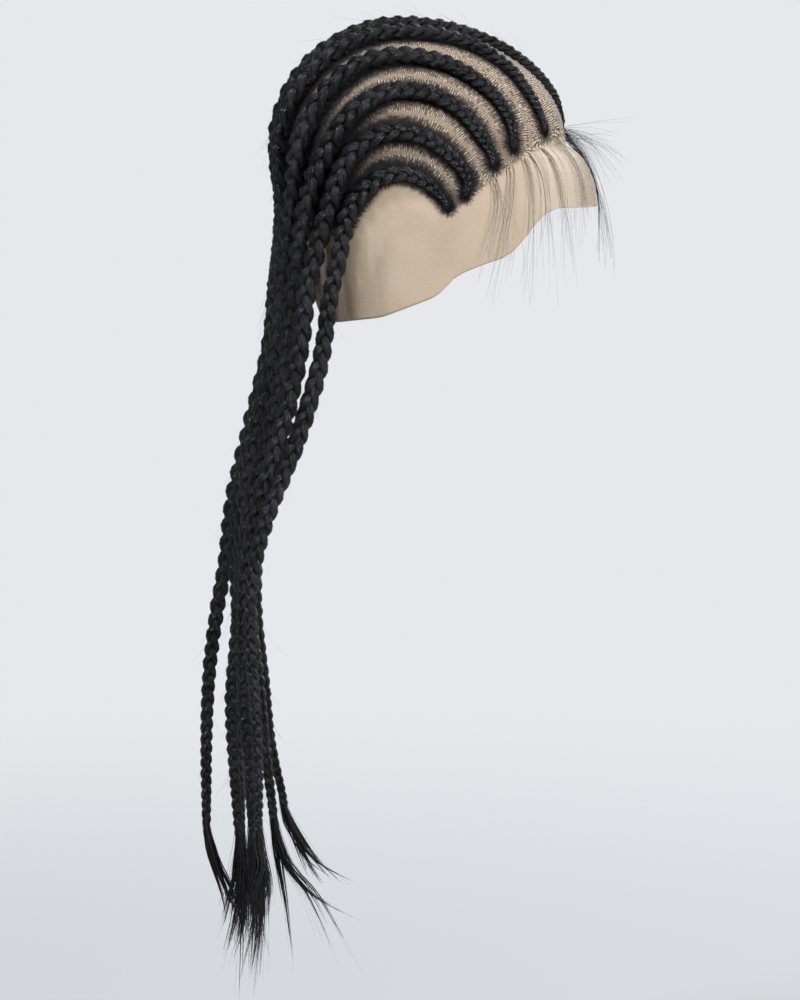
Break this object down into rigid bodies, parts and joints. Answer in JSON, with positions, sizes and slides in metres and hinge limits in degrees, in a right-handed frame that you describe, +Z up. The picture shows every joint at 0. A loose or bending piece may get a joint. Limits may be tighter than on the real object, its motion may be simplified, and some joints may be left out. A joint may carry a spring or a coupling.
{
  "type": "braid wig",
  "caption": "Lace-front wig with cornrows over the crown that hang behind as long plaits with loose tapered ends.",
  "frame": {"origin": "inside of the cap at the crown, where the wig rests on the top of the head", "axes": "+Z up along the head, front of the wig along -Y, wearer's right along -X"},
  "size_m": [0.1683, 0.2857, 0.658],
  "materials": {
    "lace": "matte fine net",
    "hair": "soft sheen"
  },
  "bodies": {
    "root": {"lace_cap": "lace", "plait_c": "hair", "plait_r1": "hair", "plait_r2": "hair", "plait_r3": "hair", "plait_r4": "hair", "plait_r5": "hair", "plait_l1": "hair", "plait_l2": "hair", "plait_l3": "hair", "plait_l4": "hair", "plait_l5": "hair", "tail_c": "hair", "tail_r1": "hair", "tail_r2": "hair", "tail_r3": "hair", "tail_r4": "hair", "tail_r5": "hair", "tail_l1": "hair", "tail_l2": "hair", "tail_l3": "hair", "tail_l4": "hair", "tail_l5": "hair", "hairline_fringe": "hair"}
  },
  "joints": []
}
